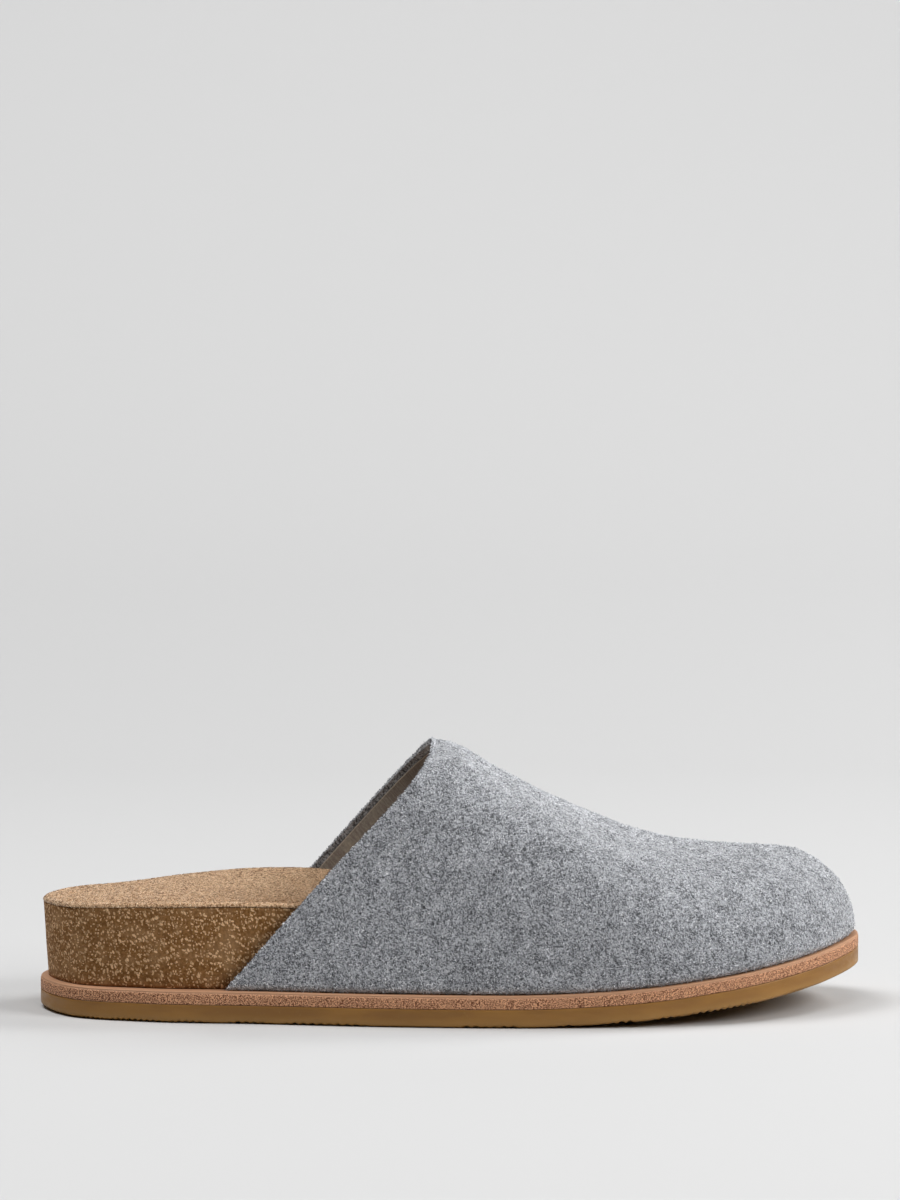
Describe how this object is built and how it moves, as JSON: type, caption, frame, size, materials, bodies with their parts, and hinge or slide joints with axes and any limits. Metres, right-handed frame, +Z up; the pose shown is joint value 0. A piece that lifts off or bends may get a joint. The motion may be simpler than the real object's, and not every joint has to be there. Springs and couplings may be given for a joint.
{
  "type": "backless felt mule",
  "caption": "Closed-toe backless mule for the right foot: felt upper with a slanted topline on a contoured cork footbed, leather welt and flat rubber sole with a lifted toe.",
  "frame": {"origin": "on the floor, under the centre of the shoe's bounding box, with the tread at z = 0", "axes": "+X runs from the heel to the toe, +Y to the inner side of the foot, +Z up"},
  "size_m": [0.26, 0.09, 0.0846],
  "materials": {
    "gum_rubber": "satin amber gum rubber",
    "welt_leather": "natural undyed leather with a rounded edge",
    "cork": "matte cork with tan flecks",
    "suede": "pale tan suede with a short nap",
    "wool_felt": "heathered grey wool felt, matte"
  },
  "bodies": {
    "root": {"outsole": "gum_rubber", "welt": "welt_leather", "cork_midsole": "cork", "insole": "suede", "upper": "wool_felt"}
  },
  "joints": []
}
